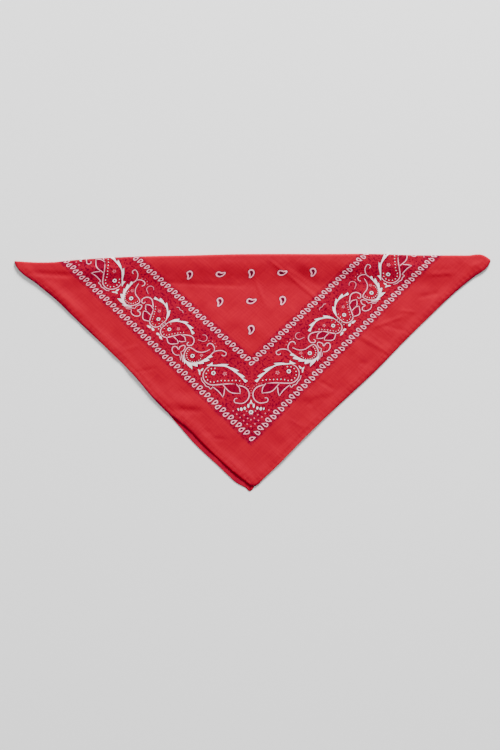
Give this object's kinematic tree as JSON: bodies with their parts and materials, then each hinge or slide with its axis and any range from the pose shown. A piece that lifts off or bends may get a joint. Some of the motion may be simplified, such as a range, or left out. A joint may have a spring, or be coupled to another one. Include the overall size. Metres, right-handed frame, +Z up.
{
  "type": "bandana",
  "caption": "Square cotton bandana with a paisley border print, folded once on its diagonal into a triangle and laid flat.",
  "frame": {"origin": "on the surface it lies on, under the middle of the bounding box", "axes": "+X along the fold, towards the blunt tip; +Y from the loose corners towards the fold; +Z up, the way the printed top half faces"},
  "size_m": [0.7719, 0.3845, 0.0068],
  "materials": {
    "cotton": "matt printed plain weave",
    "hem": "matt plain weave, turned and stitched"
  },
  "bodies": {
    "root": {"front_half": "cotton", "back_half": "cotton", "hem_front_left": "hem", "hem_front_right": "hem", "hem_back_left": "hem", "hem_back_right": "hem"}
  },
  "joints": []
}
